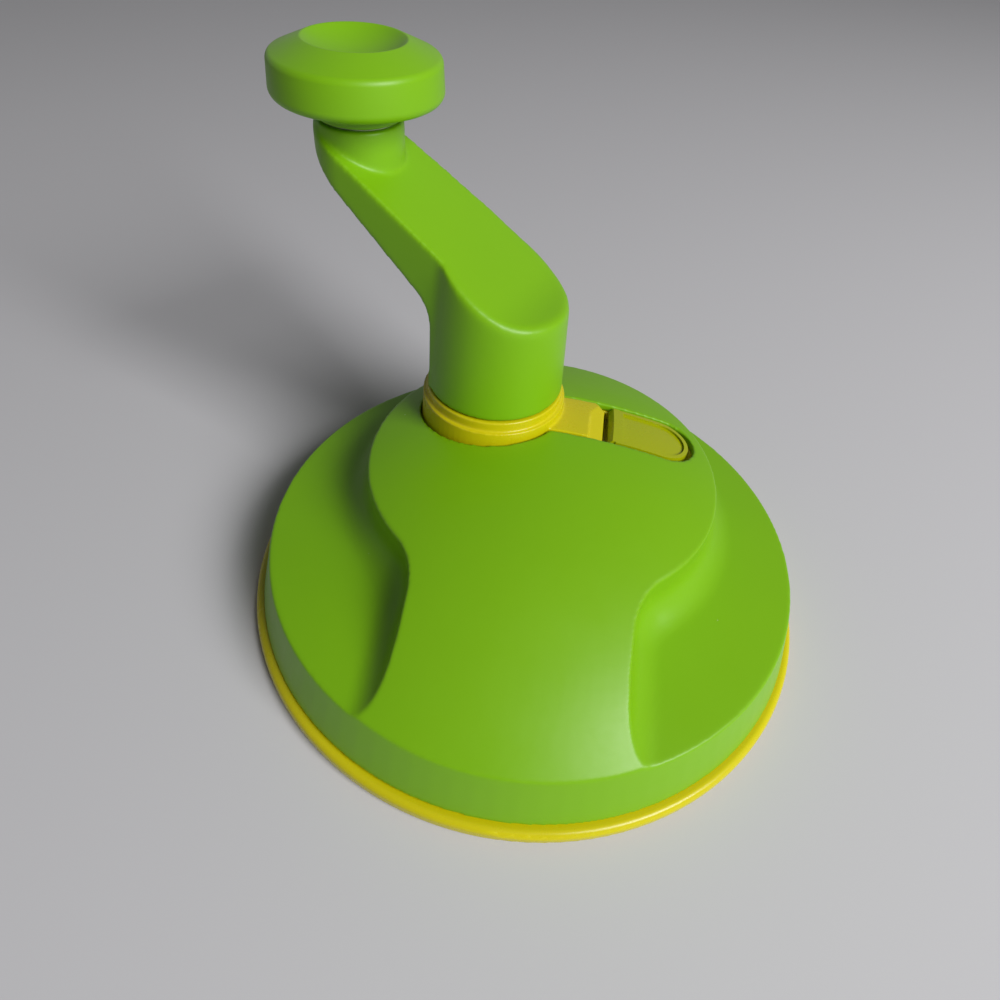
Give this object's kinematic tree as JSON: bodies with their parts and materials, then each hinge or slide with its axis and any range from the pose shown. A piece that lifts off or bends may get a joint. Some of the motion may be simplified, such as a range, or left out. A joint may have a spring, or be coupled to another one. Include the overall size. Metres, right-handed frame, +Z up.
{
  "type": "crank food chopper",
  "caption": "Hand crank drive cover of a food chopper: a gripped dome with a geared blade driver, a filler flap and a cranked knob.",
  "frame": {"origin": "centre of the rim, on the plane the rim rests on", "axes": "+Z up along the blade driver's axis, +Y along the ridge from its front end towards the crank"},
  "size_m": [0.1696, 0.1696, 0.1375],
  "materials": {
    "green_plastic": "satin moulded plastic, lime green",
    "yellow_plastic": "satin moulded plastic, lemon yellow",
    "flap_plastic": "satin moulded plastic, olive yellow",
    "white_acetal": "moulded gear and bearing plastic, off-white",
    "white_plate": "moulded plate, white",
    "clear_silicone": "soft seal, translucent white",
    "steel": "stainless steel, turned"
  },
  "bodies": {
    "cover": {"dome_cover": "green_plastic", "rim_frame": "yellow_plastic", "bowl_seal": "clear_silicone", "collar_frame": "yellow_plastic", "flap_pin": "steel", "gear_case_plate": "white_plate", "case_screws": "steel", "shaft_bush_upper": "white_acetal", "shaft_bush_lower": "white_acetal", "pinion_bush_upper": "white_acetal", "pinion_bush_lower": "white_acetal"},
    "flap": {"filler_flap": "flap_plastic"},
    "crank": {"crank": "green_plastic", "crank_shaft": "steel", "thrust_washer": "steel", "drive_gear": "white_acetal", "crank_washer": "steel", "crank_screw": "steel", "friction_washer": "white_acetal"},
    "driver": {"output_pinion": "white_acetal", "blade_driver": "white_acetal", "driver_screw": "steel"},
    "knob": {"knob": "green_plastic", "knob_screw": "steel", "knob_washer": "steel"}
  },
  "joints": [
    {"name": "crank_turn", "type": "hinge", "parent": "cover", "child": "crank", "pos_m": [-0.01855, 0.02968, 0.05], "axis": [0, 0, 1], "continuous": true},
    {"name": "driver_turn", "type": "hinge", "parent": "cover", "child": "driver", "pos_m": [0, 0, 0.025], "axis": [0, 0, 1], "continuous": true},
    {"name": "knob_turn", "type": "hinge", "parent": "crank", "child": "knob", "pos_m": [-0.06079, 0.04489, 0.12], "axis": [0, 0, 1], "continuous": true},
    {"name": "flap_hinge", "type": "hinge", "parent": "cover", "child": "flap", "pos_m": [0.0204, 0.0273, 0.04245], "axis": [0, -0.9941, 0.1081], "range_deg": [0, 90]}
  ],
  "couplings": [
    {"joint": "driver_turn", "follows": "crank_turn", "ratio": -1.8}
  ]
}
